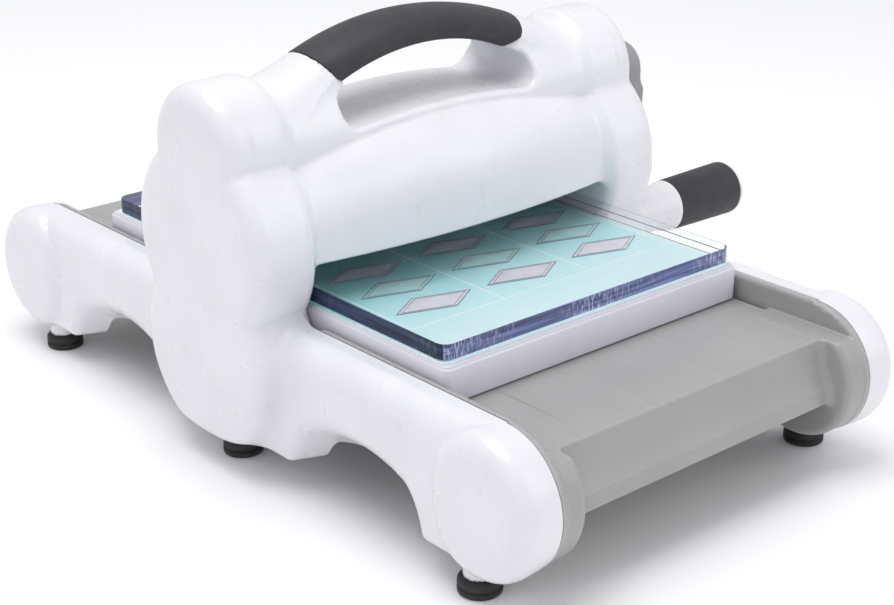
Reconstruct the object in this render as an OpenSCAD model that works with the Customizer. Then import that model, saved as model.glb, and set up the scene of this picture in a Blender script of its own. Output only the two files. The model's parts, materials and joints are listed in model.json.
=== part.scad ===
// Hand-cranked die cutting machine, with the sandwich of plates that it presses.
// X runs along the rollers with the crank on +X, Y along the feed, Z up.
// The origin is midway between the towers, on the surface that the feet stand on.

/* [Housing] */
// Radius of the round end of each side rail
end_r = 28.3; // [27:0.1:29]
// Half of the distance between the centres of the two end rounds
end_y = 153.2; // [150:0.1:158]
// Half width between the outer faces of the towers
tower_out = 109; // [108:0.5:112]
// Half width of the feed throat
throat = 80.3; // [80:0.1:80.8]
// Height of the hollow carrying handle above the surface
handle_top = 171.5; // [169:0.5:176]
// Wall thickness of the moulded housing
wall = 2.5; // [2:0.1:3]

/* [Rollers] */
// Radius of both pressing rollers
roller_r = 18.75; // [18:0.05:18.8]
// Height of the tray surface that the plates slide on
floor_z = 57; // [56:0.5:58]
// Running gap between rollers, tray and plates
gap = 0.3; // [0.2:0.05:0.4]

/* [Plates] */
// Width of the clear cutting pads
pad_w = 155.6; // [150:0.1:156]
// Length of the clear cutting pads
pad_l = 222.2; // [200:0.1:230]
// Thickness of one cutting pad
pad_t = 3.2; // [2.8:0.1:3.6]
// Thickness of the printed sheet with its thin dies
card_t = 1; // [0.6:0.1:1.2]
// Thickness of the carrier platform
platform_t = 14.5; // [13:0.1:15]

/* [Drive] */
// Teeth on the pinion that the crank turns
pinion_teeth = 15; // [14:1:15]
// Teeth on the gear of each roller
roller_teeth = 24; // [24:1:24]
// Distance from the crank shaft to the axis of the grip
crank_r = 68.75; // [66:0.25:70]
// Outer end of the grip, from the middle of the machine
grip_end = 205.5; // [200:0.5:208]

/* [Feet] */
// Radius of a rubber foot
foot_r = 8.3; // [7.5:0.1:9]
// Height of a rubber foot
foot_h = 6.5; // [5:0.5:7]

/* [Hidden] */
$fn = 96;

// Heights that follow from the stack of plates
lower_z = floor_z - roller_r;
platform_z = floor_z + gap;
card_z = platform_z + platform_t;
lower_pad_z = card_z + card_t;
upper_pad_z = lower_pad_z + pad_t;
stack_top = upper_pad_z + pad_t;
upper_z = stack_top + gap + roller_r;
platform_w = pad_w + 3.2;
platform_l = pad_l + 8.2;
platform_r = 3.5;
pad_shift = [0.4, -0.8];
step = 0.8;

// Gears: module 1, pressure angle 20 degrees
gear_m = 1;
gear_pa = 20;
idler_teeth = 18;
backlash = 0.05;
crank_z = upper_z + gear_m * (pinion_teeth + roller_teeth) / 2;
idler_drop = gear_m * (roller_teeth + idler_teeth) / 2;
upper_idler_z = upper_z - idler_drop;
lower_idler_z = lower_z + idler_drop;

// Side towers: three stacked round lobes
lobe_z = [130.7, 94.2, 49.2];
lobe_r = [27.1, 42.9, 41.7];
lobe_fillet = 8;
tower_bottom = 12.5;
shell_in = 84;
rail_out = 98.5;
rail_top = 66.7;
rail_low = 13;
disc_out = 102.5;
disc_z = 38.6;
disc_fillet = 8;
rail_round = 10;
boss_in_y = 129;
boss_in_r = 40;

// Arches below the rails, higher and wider at their outer ends: [x, half width, top]
tunnel_y = 83;
tunnel_top_r = 73;
tunnel_corner = 12;
tunnel_ends = [[shell_in - 2, 35.5, 26], [tower_out, 42, 46.5]];

// Supports of the shells
stem_r = 6.2;
feet_x = 90.5;
feet_y = [-146, 0, 146];
sides = [-1, 1];

// Bridge between the towers
barrel_y = -16;
barrel_z = 105.5;
barrel_r = 28;
bow_r = 460;
bow_front = -44;
bridge_x = throat;
bridge_low = 88.5;
tube_r = 21.5;
tube_half_y = 25.5;
tube_z = lobe_z[0];
hole_half = 50;
hole_low = 137.5;
hole_high = 156;

// Carrying handle: an arch of constant section
arch_r = 144;
arch_h = 14;
arch_w = 31;
arch_z = handle_top - arch_h / 2 - arch_r;
arch_round = 5.9;
arch_angle = 25.8;
grip_angle = 20.5;
grip_skin = 2;

// Frame plates and the parts that they hold
plate_in = 86;
plate_t = 3;
plate_out = plate_in + plate_t;
journal_r = 8;
seat_r = 6;
bush_r = 11;
bush_flange = 1;
crank_bush_r = 6.2;
fit = 0.05;
gear_x = 91.2;
gear_w = 8;
roller_half = 79;
rod_r = 4;
upper_rod = [20, 118];
lower_rod = [31, 40];
shell_screws_at = [[0, 141], [-28, 62], [28, 62]];
pin_r = 4;

// Crank and grip
crank_in = tower_out + 2.5;
arm_t = 12;
crank_out = crank_in + arm_t;
hub_half_y = 17;
hub_half_z = 21;
hub_round = 12;
hub_cap_r = 11.5;
hub_cap_t = 2;
arm_end_r = 13;
grip_z = crank_z - crank_r;
sleeve_x = 161.5;
sleeve_r = 12.5;
sleeve_out_r = 13.2;
core_r = 8.5;
cap_t = 2;
bolt_r = 4;
shaft_r = 6;

// Tray
tray_end = 164.6;
tray_slot = 20.5;
floor_t = 3;
rim_in = 81;
cheek_in = 71.5;
cheek_r = 27;
apron_crease = [171, 37.3];
apron_foot = [171.5, 31.5];

// ---------------------------------------------------------------- helpers

// Extrudes a (Y, Z) outline from x0 to x1
module along_x(x0, x1) {
    translate([x0, 0, 0])
        rotate([90, 0, 90])
            linear_extrude(x1 - x0)
                children();
}

// Cylinder along X, centred on (y, z)
module rod_x(x0, x1, r, y, z) {
    translate([x0, y, z])
        rotate([0, 90, 0])
            cylinder(r = r, h = x1 - x0);
}

// Cylinder along X with its far rim rounded by f
module puck(x0, x1, r, f, y, z) {
    translate([x0, y, z])
        rotate([0, 90, 0])
            rotate_extrude()
                rounded_half(r, x1 - x0, f);
}

// Half section of a disc, from its axis out to r, with a round of f on the top rim
module rounded_half(r, h, f) {
    square([r - f, h]);
    square([r, h - f]);
    translate([r - f, h - f])
        intersection() {
            circle(f);
            square(f);
        }
}

// Rectangle with round corners, centred on the origin
module rounded_rect(w, h, r) {
    square([w - 2 * r, h], center = true);
    square([w, h - 2 * r], center = true);
    for (sx = sides, sy = sides)
        translate([sx * (w / 2 - r), sy * (h / 2 - r)])
            circle(r);
}

// Turns a left-hand or right-hand copy: s is -1 for -X and 1 for +X
module on_side(s) {
    mirror([s < 0 ? 1 : 0, 0, 0])
        children();
}

// Front copy for s = -1, rear copy for s = 1; children are drawn at the rear
module on_end(s) {
    mirror([0, s < 0 ? 1 : 0, 0])
        children();
}

// ---------------------------------------------------------------- gears

function involute(a) = tan(a) * 180 / PI - a;

// Half the angle that a tooth spans at radius r
function tooth_half(teeth, r) =
    let (pitch = gear_m * teeth / 2, base = pitch * cos(gear_pa))
    90 / teeth - backlash / pitch * 180 / PI
        + involute(gear_pa) - involute(acos(min(1, base / max(r, base))));

function polar(r, a) = [r * cos(a), r * sin(a)];

// Outline of one tooth around the angle a, from root to tip and back
function tooth_points(teeth, a, steps = 6) =
    let (pitch = gear_m * teeth / 2, root = pitch - 1.25 * gear_m, tip = pitch + gear_m)
    let (radii = [for (i = [0 : steps]) root + (tip - root) * i / steps])
    concat(
        [for (i = [0 : steps]) polar(radii[i], a - tooth_half(teeth, radii[i]))],
        [for (i = [steps : -1 : 0]) polar(radii[i], a + tooth_half(teeth, radii[i]))]
    );

// Spur gear along X with a tooth centred on the angle phase, measured from Y to Z
module gear(x0, width, teeth, bore_r, z, phase) {
    outline = [for (i = [0 : teeth - 1]) each tooth_points(teeth, phase + i * 360 / teeth)];
    difference() {
        translate([0, 0, z])
            along_x(x0, x0 + width)
                polygon(outline);
        rod_x(x0 - 1, x0 + width + 1, bore_r, 0, z);
    }
}

// ---------------------------------------------------------------- housing

// Solid of one side, drawn at +X; every face is moved in by inset
module side_solid(inset, x_in) {
    difference() {
        union() {
            for (i = [0 : 2])
                puck(x_in, tower_out - inset, lobe_r[i] - inset, lobe_fillet - inset, 0, lobe_z[i]);
            rail_solid(inset, x_in);
            for (s = sides) {
                puck(x_in, rail_out - inset, end_r - inset, disc_fillet - inset, s * end_y, disc_z);
                end_boss(s, inset);
            }
        }
        for (s = sides)
            rail_tunnel(s, inset);
        translate([x_in - 1, -lobe_r[2], -20])
            cube([50, 2 * lobe_r[2], 20 + tower_bottom + inset]);
    }
}

// The raised face of an end round, which stops at a steep arc on the side of the rail
module end_boss(s, inset) {
    intersection() {
        puck(rail_out - 12, disc_out - inset, end_r - inset, disc_fillet - inset, s * end_y, disc_z);
        rod_x(rail_out - 13, disc_out + 1, boss_in_r - inset, s * (boss_in_y + boss_in_r), disc_z);
    }
}

// The straight rail between the end rounds, with a round shoulder along its top
module rail_solid(inset, x_in) {
    out = rail_out - inset;
    top = rail_top - inset;
    round_r = rail_round - inset;
    intersection() {
        along_x(x_in, out)
            rail_outline(inset);
        rotate([90, 0, 0])
            linear_extrude(2 * end_y, center = true)
                union() {
                    translate([x_in, 0])
                        square([out - round_r - x_in, top]);
                    square([out, top - round_r]);
                    translate([out - round_r, top - round_r])
                        circle(round_r);
                }
    }
}

// Side view of the rail, as if it had no arches
module rail_outline(inset) {
    translate([-end_y, rail_low + inset])
        square([2 * end_y, rail_top - rail_low - 2 * inset]);
}

// Room below the rail on one side of the tower; its roof and ends flare outwards
module rail_tunnel(s, grow) {
    hull()
        for (end = tunnel_ends)
            along_x(end[0], end[0] + 0.01)
                translate([s * tunnel_y, 0])
                    tunnel_outline(end[1] + grow, end[2] + grow);
}

module tunnel_outline(half, top) {
    intersection() {
        translate([0, top - tunnel_top_r])
            circle(tunnel_top_r, $fn = 48);
        translate([0, top - 3 * tunnel_corner])
            rounded_rect(2 * half, 6 * tunnel_corner, tunnel_corner, $fn = 32);
    }
}

// Moulded shell of one side: the tower, the rail, its end rounds and the foot bosses
module side_shell(s) {
    color("white")
        on_side(s)
            difference() {
                union() {
                    difference() {
                        side_solid(0, shell_in);
                        side_solid(wall, shell_in - 1);
                    }
                    for (y = feet_y)
                        translate([feet_x, y, foot_h])
                            cylinder(r = stem_r, h = tower_bottom + wall - foot_h);
                    for (p = shell_screws_at)
                        rod_x(plate_out, tower_out - 1, 4, p[0], p[1]);
                    if (s > 0)
                        rod_x(tower_out - 6, tower_out, 13, 0, crank_z);
                }
                for (y = feet_y)
                    translate([feet_x, y, foot_h - 1])
                        cylinder(r = 3, h = 6.2);
                for (p = shell_screws_at)
                    rod_x(plate_in, plate_out + 12, 1.6, p[0], p[1]);
                if (s > 0)
                    rod_x(tower_out - 10, tower_out + 2, 10, 0, crank_z);
            }
}

// Panel that closes the tower towards the throat
module inner_wall(s) {
    color("whitesmoke")
        on_side(s)
            difference() {
                union()
                    for (i = [0 : 2])
                        translate([shell_in + throat, 0, 0])
                            mirror([1, 0, 0])
                                puck(throat, shell_in, lobe_r[i] - 0.4, 3, 0, lobe_z[i]);
                translate([throat - 1, -lobe_r[2], -20])
                    cube([10, 2 * lobe_r[2], 20 + tower_bottom]);
                for (z = [lower_z, upper_z])
                    rod_x(throat - 1, shell_in + 1, journal_r + 0.6, 0, z);
                for (y = sides)
                    for (p = [upper_rod, lower_rod])
                        rod_x(throat - 1, shell_in + 1, rod_r + 0.3, y * p[0], p[1]);
            }
}

// Outline of the front half of the bridge: barrel below, round tube above
module bridge_outline(inset) {
    difference() {
        union() {
            translate([barrel_y, barrel_z])
                circle(barrel_r - inset);
            translate([barrel_y - barrel_r + inset, bridge_low])
                square([barrel_r, barrel_z - bridge_low]);
            translate([0, tube_z])
                scale([(tube_half_y - inset) / (tube_r - inset), 1])
                    circle(tube_r - inset);
            translate([barrel_y, barrel_z])
                square([-barrel_y, tube_z - barrel_z]);
        }
        square([60, 200]);
        translate([-60, 0])
            square([120, bridge_low + inset]);
        translate([-60, hole_low + 25 - inset])
            square([120, 30]);
    }
}

// Solid of the front half of the bridge, bowed forwards in the middle
module bridge_solid(inset) {
    intersection() {
        along_x(-bridge_x + inset, bridge_x - inset)
            bridge_outline(inset);
        translate([0, bow_front + bow_r, 0])
            cylinder(r = bow_r - inset, h = 200, $fn = 360);
    }
}

// The slot for the fingers, right through the bridge below the handle
module finger_slot(grow) {
    rotate([90, 0, 0])
        linear_extrude(120, center = true)
            translate([0, (hole_low + hole_high) / 2])
                rounded_rect(2 * (hole_half + grow), hole_high - hole_low + 2 * grow, 8 + grow);
}

// One half of the bridge cover; the rear half is the mirror image of the front one
module bridge_cover(s) {
    color("white")
        on_end(-s)
            difference() {
                bridge_solid(0);
                difference() {
                    bridge_solid(wall);
                    finger_slot(wall);
                }
                finger_slot(0);
                rod_x(-bridge_x - 1, bridge_x + 1, rod_r + 0.3, -upper_rod[0], upper_rod[1]);
                arch_section(arch_angle + 1, 0);
                rod_x(-bridge_x - 1, bridge_x + 1, roller_r + 1.2, 0, upper_z);
                translate([-bridge_x - 1, -12, bridge_low - 1])
                    cube([2 * bridge_x + 2, 13, 30]);
            }
}

// The arched bar of the handle over the angle a to each side; its section is moved in by inset
module arch_section(a, inset) {
    translate([0, 0, arch_z])
        rotate([90, 0, 0])
            rotate([0, 0, 90 - a])
                rotate_extrude(angle = 2 * a)
                    translate([arch_r, 0])
                        rounded_rect(arch_h - 2 * inset, arch_w - 2 * inset, arch_round - inset / 2);
}

// White bar of the carrying handle, thinner where the grip is moulded over it
module handle_arch() {
    color("white")
        difference() {
            arch_section(arch_angle, 0);
            difference() {
                arch_section(grip_angle, -1);
                arch_section(grip_angle + 1, grip_skin);
            }
            for (s = sides)
                translate([s * (throat + 10), 0, tube_z])
                    cube([20, 60, 60], center = true);
        }
}

// Soft dark grip around the middle of the handle
module handle_grip() {
    color([0.27, 0.27, 0.28])
        difference() {
            arch_section(grip_angle, 0);
            arch_section(grip_angle + 1, grip_skin);
        }
}

// Tray at one end: floor, rims, round cheeks and the coved apron; drawn at the rear
module tray(s) {
    clear_y = lobe_r[2] + 0.6;
    color([0.66, 0.66, 0.67])
        on_end(s) {
            translate([-throat + 0.1, tray_slot, floor_z - floor_t])
                cube([2 * throat - 0.2, tray_end - tray_slot, floor_t]);
            along_x(-cheek_in - 1, cheek_in + 1)
                apron_outline();
            for (side = sides)
                on_side(side) {
                    rim(clear_y);
                    cheek();
                }
        }
}

module apron_outline() {
    polygon([
        [tray_end - 4, floor_z - floor_t], [tray_end, floor_z], [tray_end + 0.6, 52], [tray_end + 1.9, 47],
        [tray_end + 3.9, 42], apron_crease, apron_foot,
        [apron_foot[0] - wall, apron_foot[1]], [apron_crease[0] - wall, apron_crease[1] - 1],
        [tray_end + 1.2, 41], [tray_end - 1, 47], [tray_end - 3, 52]
    ]);
}

// Upright strip along the edge of the tray, beside the rail
module rim(clear_y) {
    translate([throat - 1, clear_y, floor_z - floor_t])
        cube([shell_in - throat + 1, end_y - clear_y, floor_t]);
    translate([rim_in, clear_y, floor_z - floor_t])
        cube([shell_in - rim_in, end_y - clear_y, rail_top - floor_z + floor_t]);
}

// Round end of the tray beside the end disc of the shell
module cheek() {
    difference() {
        union() {
            intersection() {
                rod_x(cheek_in, shell_in, cheek_r, end_y, disc_z);
                translate([cheek_in - 1, 0, 0])
                    cube([20, 2 * end_y, floor_z]);
            }
            rod_x(rim_in, shell_in, cheek_r + 1, end_y, disc_z);
        }
        rod_x(cheek_in + wall, shell_in + 1, cheek_r - wall, end_y, disc_z);
        translate([cheek_in - 1, end_y - 60, 0])
            cube([20, 60, floor_z - floor_t]);
    }
}

// Flat cover under the rollers, between the two side shells
module base_cover() {
    color("whitesmoke")
        difference() {
            translate([-throat, -38, tower_bottom])
                cube([2 * throat, 76, wall]);
            for (x = [-60 : 20 : 60])
                translate([x, 0, tower_bottom - 1])
                    linear_extrude(wall + 2)
                        rounded_rect(6, 40, 2.9);
        }
}

// ---------------------------------------------------------------- feet

// Rubber foot with a plug that presses into the boss above it
module foot(x, y) {
    color([0.08, 0.08, 0.08])
        translate([x, y, 0]) {
            rotate_extrude() {
                translate([0, 1])
                    square([foot_r, foot_h - 2.5]);
                square([foot_r - 1, foot_h - 1]);
                translate([foot_r - 1, 1])
                    circle(1);
                square([foot_r - 1.5, foot_h]);
            }
            cylinder(r = 2.9, h = foot_h + 4.6);
        }
}

// ---------------------------------------------------------------- steel frame

// Upright plate that carries the roller bushes and the tie rods
module frame_plate(s) {
    color([0.62, 0.64, 0.66])
        on_side(s)
            difference() {
                along_x(plate_in, plate_out) {
                    translate([0, upper_z])
                        circle(35);
                    translate([0, lobe_z[0] + 1])
                        circle(16);
                    intersection() {
                        translate([0, lobe_z[2]])
                            circle(lobe_r[2] - wall - 1);
                        translate([-40, 24])
                            square([80, 48]);
                    }
                    translate([-24, 72])
                        square([48, 20]);
                }
                for (z = [lower_z, upper_z])
                    rod_x(plate_in - 1, plate_out + 1, bush_r, 0, z);
                for (y = sides)
                    for (p = [upper_rod, lower_rod])
                        rod_x(plate_in - 1, plate_out + 1, 2.7, y * p[0], p[1]);
                for (p = shell_screws_at)
                    rod_x(plate_in - 1, plate_out + 1, 1.7, p[0], p[1]);
                if (s > 0)
                    rod_x(plate_in - 1, plate_out + 1, crank_bush_r, 0, crank_z);
                if (s < 0)
                    for (z = [upper_idler_z, lower_idler_z])
                        rod_x(plate_in - 1, plate_out + 1, pin_r - 1, 0, z);
            }
}

// Round bar that ties the two frame plates together
module tie_rod(y, z) {
    color([0.7, 0.71, 0.73])
        difference() {
            rod_x(-plate_in, plate_in, rod_r, y, z);
            for (x = [-plate_in - 1, plate_in - 9])
                rod_x(x, x + 10, 2, y, z);
        }
}

// Screw along +X: its head is outside x_face and its shank points to -X
module screw(x_face, head_r, head_h, shank_r, shank_l, y, z) {
    difference() {
        rod_x(x_face, x_face + head_h, head_r, y, z);
        translate([x_face + head_h - 1.4, y, z])
            rotate([0, 90, 0])
                cylinder(r = head_r * 0.5, h = 2, $fn = 6);
    }
    rod_x(x_face - shank_l, x_face + 0.1, shank_r, y, z);
}

module tie_rod_screws() {
    color("silver")
        for (s = sides, y = sides, p = [upper_rod, lower_rod])
            on_side(s)
                screw(plate_out, 4.2, 3.2, 2, 10, y * p[0], p[1]);
}

// Screws from the plates into the posts of the shells; their heads face the throat
module shell_screws() {
    color("silver")
        for (s = sides, p = shell_screws_at)
            on_side(s)
                translate([2 * plate_in, 0, 0])
                    mirror([1, 0, 0])
                        screw(plate_in, 3, 1.8, 1.6, 12, p[0], p[1]);
}

// Flanged bearing bush for a roller journal
module roller_bush(s, z) {
    color([0.8, 0.62, 0.3])
        on_side(s)
            difference() {
                union() {
                    rod_x(plate_in, plate_out + 1, bush_r, 0, z);
                    rod_x(plate_in - 1.6, plate_in, bush_r + bush_flange, 0, z);
                }
                rod_x(plate_in - 3, plate_out + 3, journal_r + fit, 0, z);
            }
}

module crank_inner_bush() {
    color([0.8, 0.62, 0.3])
        difference() {
            union() {
                rod_x(plate_in, plate_out + 0.6, crank_bush_r, 0, crank_z);
                rod_x(plate_in - 1.4, plate_in, crank_bush_r + bush_flange, 0, crank_z);
            }
            rod_x(plate_in - 3, plate_out + 3, pin_r + fit, 0, crank_z);
        }
}

module crank_outer_bush() {
    color([0.8, 0.62, 0.3])
        difference() {
            union() {
                rod_x(tower_out - 6, tower_out, 10, 0, crank_z);
                rod_x(tower_out, tower_out + 1.2, 12, 0, crank_z);
            }
            rod_x(tower_out - 8, tower_out + 3, shaft_r + fit, 0, crank_z);
        }
}

// ---------------------------------------------------------------- rollers and gears

// Steel roller with its stepped journals
module roller(z) {
    color([0.6, 0.61, 0.63]) {
        rod_x(-roller_half, roller_half, roller_r, 0, z);
        rod_x(-gear_x, gear_x, journal_r, 0, z);
        rod_x(-gear_x - gear_w - 2, gear_x + gear_w + 2, seat_r, 0, z);
    }
}

module idler_pin(z) {
    color("silver")
        on_side(-1) {
            rod_x(plate_in, plate_out, pin_r - 1, 0, z);
            rod_x(plate_out, gear_x + gear_w + 1, pin_r, 0, z);
            rod_x(plate_out, gear_x - 0.4, pin_r + 2, 0, z);
            rod_x(gear_x + gear_w + 0.4, gear_x + gear_w + 1.6, pin_r + 2, 0, z);
        }
}

// Gear of the left or right gear case
module side_gear(s, teeth, bore_r, z, phase) {
    color([0.72, 0.7, 0.62])
        gear(s > 0 ? gear_x : -gear_x - gear_w, gear_w, teeth, bore_r, z, phase);
}

// ---------------------------------------------------------------- crank

module crank_shaft() {
    color("silver") {
        rod_x(plate_in - 1, plate_out + 14, pin_r, 0, crank_z);
        rod_x(gear_x + gear_w + 0.4, crank_out - 1.5, shaft_r, 0, crank_z);
    }
}

// Solid of the crank arm: the hub block above and the grip end below
module arm_solid() {
    along_x(crank_in, crank_out)
        translate([0, crank_z])
            rounded_rect(2 * hub_half_y, 2 * hub_half_z, hub_round);
    along_x(crank_in, crank_out)
        polygon([
            [-hub_half_y + 0.4, crank_z - 2], [hub_half_y - 0.4, crank_z - 2],
            [arm_end_r - 0.2, grip_z - 1], [-arm_end_r + 0.2, grip_z - 1]
        ]);
    rod_x(crank_in, crank_out, arm_end_r, 0, grip_z);
}

module crank_arm() {
    color([0.6, 0.6, 0.62])
        difference() {
            arm_solid();
            along_x(crank_out - 2, crank_out + 1)
                polygon([
                    [-hub_half_y + 5, crank_z - 17], [hub_half_y - 5, crank_z - 17],
                    [arm_end_r - 4, grip_z + 16], [-arm_end_r + 4, grip_z + 16]
                ]);
            rod_x(crank_in - 1, crank_out - 1.5, shaft_r, 0, crank_z);
            rod_x(crank_out - 1.5, crank_out + 1, 10, 0, crank_z);
            rod_x(crank_in - 1, crank_out + 1, bolt_r, 0, grip_z);
            rod_x(crank_in - 1, crank_in + 4, 7, 0, grip_z);
        }
}

// Screw head in the recess of the hub
module hub_screw() {
    color("silver")
        difference() {
            rod_x(crank_out - 1.5, crank_out + 0.7, 5, 0, crank_z);
            translate([crank_out - 0.6, 0, crank_z])
                rotate([0, 90, 0])
                    cylinder(r = 2.6, h = 2, $fn = 6);
        }
}

module hub_cap() {
    color([0.66, 0.66, 0.67])
        difference() {
            union() {
                rod_x(crank_out - 1.5, crank_out, 10, 0, crank_z);
                puck(crank_out, crank_out + hub_cap_t, hub_cap_r, 1.5, 0, crank_z);
            }
            rod_x(crank_out - 2, crank_out + 1.2, 8, 0, crank_z);
        }
}

module grip_bolt() {
    color("silver")
        difference() {
            union() {
                rod_x(crank_in + 0.2, crank_in + 4, 7, 0, grip_z);
                rod_x(crank_in, grip_end - 6, bolt_r, 0, grip_z);
            }
            translate([crank_in - 1, 0, grip_z])
                rotate([0, 90, 0])
                    cylinder(r = 3, h = 3, $fn = 6);
        }
}

// White core that turns on the bolt: it flares to the size of the sleeve
module grip_core() {
    color("white")
        difference() {
            union() {
                translate([crank_out + gap, 0, grip_z])
                    rotate([0, 90, 0]) {
                        cylinder(r = 10.4, h = sleeve_x - 12 - crank_out - gap);
                        translate([0, 0, sleeve_x - 12 - crank_out - gap])
                            cylinder(r1 = 10.4, r2 = sleeve_r, h = 12);
                    }
                rod_x(sleeve_x, grip_end - cap_t, core_r, 0, grip_z);
            }
            rod_x(crank_out, grip_end - 5, bolt_r + fit, 0, grip_z);
        }
}

// Dark sleeve, slightly wider towards its outer end
module grip_sleeve() {
    color([0.24, 0.24, 0.25])
        difference() {
            translate([sleeve_x, 0, grip_z])
                rotate([0, 90, 0])
                    cylinder(r1 = sleeve_r, r2 = sleeve_out_r, h = grip_end - cap_t - sleeve_x);
            rod_x(sleeve_x - 1, grip_end, core_r, 0, grip_z);
        }
}

module grip_end_cap() {
    color("white")
        puck(grip_end - cap_t, grip_end, sleeve_out_r - 0.2, 1.2, 0, grip_z);
}

// ---------------------------------------------------------------- plates

// Flat plate with round corners, centred across the throat
module plate(w, l, t, r, z) {
    translate([0, 0, z])
        linear_extrude(t)
            rounded_rect(w, l, r);
}

// Carrier platform: a slab with a small step around its top edge
module platform() {
    color("white") {
        plate(platform_w, platform_l, platform_t - step, platform_r, platform_z);
        plate(platform_w - 2 * step, platform_l - 2 * step, platform_t, platform_r - step, platform_z);
    }
}

module die_sheet() {
    color([0.5, 0.85, 0.85])
        plate(pad_w, pad_l + 3, card_t, 4.5, card_z);
}

module cutting_pad(z) {
    color([0.7, 0.75, 0.9, 0.6])
        translate(pad_shift)
            plate(pad_w, pad_l, pad_t, 5, z);
}

// ---------------------------------------------------------------- nodes

side_shell(-1);  // left_side_shell
side_shell(1);  // right_side_shell
inner_wall(-1);  // left_inner_wall
inner_wall(1);  // right_inner_wall
bridge_cover(-1);  // front_bridge_cover
bridge_cover(1);  // rear_bridge_cover
handle_arch();
handle_grip();
tray(-1);  // front_tray
tray(1);  // rear_tray
base_cover();
foot(-feet_x, feet_y[0]);  // front_left_foot
foot(-feet_x, feet_y[1]);  // middle_left_foot
foot(-feet_x, feet_y[2]);  // rear_left_foot
foot(feet_x, feet_y[0]);  // front_right_foot
foot(feet_x, feet_y[1]);  // middle_right_foot
foot(feet_x, feet_y[2]);  // rear_right_foot
frame_plate(-1);  // left_frame_plate
frame_plate(1);  // right_frame_plate
tie_rod(-upper_rod[0], upper_rod[1]);  // upper_front_tie_rod
tie_rod(upper_rod[0], upper_rod[1]);  // upper_rear_tie_rod
tie_rod(-lower_rod[0], lower_rod[1]);  // lower_front_tie_rod
tie_rod(lower_rod[0], lower_rod[1]);  // lower_rear_tie_rod
tie_rod_screws();
shell_screws();
roller_bush(-1, upper_z);  // upper_left_bush
roller_bush(1, upper_z);  // upper_right_bush
roller_bush(-1, lower_z);  // lower_left_bush
roller_bush(1, lower_z);  // lower_right_bush
crank_inner_bush();
crank_outer_bush();
idler_pin(upper_idler_z);  // upper_idler_pin
idler_pin(lower_idler_z);  // lower_idler_pin
side_gear(-1, idler_teeth, pin_r + fit, upper_idler_z, 90 + 180 / idler_teeth);  // upper_idler_gear
side_gear(-1, idler_teeth, pin_r + fit, lower_idler_z, 90);  // lower_idler_gear
roller(upper_z);  // upper_roller
side_gear(1, roller_teeth, seat_r, upper_z, 90);  // upper_drive_gear
side_gear(-1, roller_teeth, seat_r, upper_z, 90);  // upper_timing_gear
roller(lower_z);  // lower_roller
side_gear(-1, roller_teeth, seat_r, lower_z, 90 + 180 / roller_teeth);  // lower_timing_gear
crank_shaft();
side_gear(1, pinion_teeth, pin_r, crank_z, 270 + 180 / pinion_teeth);  // crank_pinion
crank_arm();
hub_screw();
hub_cap();
grip_bolt();
grip_core();
grip_sleeve();
grip_end_cap();
platform();
die_sheet();
cutting_pad(lower_pad_z);  // lower_cutting_pad
cutting_pad(upper_pad_z);  // upper_cutting_pad
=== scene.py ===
"""Looks of the hand-cranked die cutting machine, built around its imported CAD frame.

Lengths are millimetres unless a line says otherwise, and MM turns them into Blender's metres.
X runs along the rollers with the crank on +X, Y along the feed, Z up.
"""

import json
import math

import bmesh
import bpy
import numpy as np
from mathutils import Matrix, Vector


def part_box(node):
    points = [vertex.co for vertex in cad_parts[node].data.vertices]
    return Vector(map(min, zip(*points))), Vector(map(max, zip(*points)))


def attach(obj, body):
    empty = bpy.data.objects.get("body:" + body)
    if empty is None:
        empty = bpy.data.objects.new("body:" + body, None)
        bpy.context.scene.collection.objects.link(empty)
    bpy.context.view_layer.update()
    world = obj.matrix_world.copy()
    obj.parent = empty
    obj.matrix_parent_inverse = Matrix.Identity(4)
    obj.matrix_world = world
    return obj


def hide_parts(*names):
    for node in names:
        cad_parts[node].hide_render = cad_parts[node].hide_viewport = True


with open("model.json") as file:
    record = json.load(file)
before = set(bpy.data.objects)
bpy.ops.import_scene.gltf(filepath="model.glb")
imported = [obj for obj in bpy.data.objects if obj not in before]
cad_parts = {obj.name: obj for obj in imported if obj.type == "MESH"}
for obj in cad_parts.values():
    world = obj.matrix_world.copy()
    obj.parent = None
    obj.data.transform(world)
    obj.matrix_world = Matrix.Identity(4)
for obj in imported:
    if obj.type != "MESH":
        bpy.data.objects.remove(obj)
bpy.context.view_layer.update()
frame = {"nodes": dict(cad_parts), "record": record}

MM = 0.001
CAD = frame["nodes"]


def cad_mm(node):
    """Lowest and highest corner of a CAD node in millimetres."""
    low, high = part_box(node)
    return np.array(low) / MM, np.array(high) / MM


# ---------------------------------------------------------------- sizes, from the frame

SHELL_LOW, SHELL_HIGH = cad_mm("right_side_shell")
TOWER_OUT = SHELL_HIGH[0]
RAIL_END = SHELL_HIGH[1]
SHELL_IN = SHELL_LOW[0]
THROAT = cad_mm("right_inner_wall")[0][0]
HANDLE_TOP = cad_mm("handle_grip")[1][2]
RIM_HEIGHT, SHAFT_R, GRIP_R = 9.7, 6, 13.2
FLOOR_Z = cad_mm("front_tray")[1][2] - RIM_HEIGHT
CRANK_Z = cad_mm("crank_shaft")[0][2] + SHAFT_R
GRIP_Z = cad_mm("grip_sleeve")[0][2] + GRIP_R
ROLLER_R = (cad_mm("upper_roller")[1][2] - cad_mm("upper_roller")[0][2]) / 2
UPPER_Z = cad_mm("upper_roller")[1][2] - ROLLER_R
LOWER_Z = cad_mm("lower_roller")[1][2] - ROLLER_R

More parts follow.
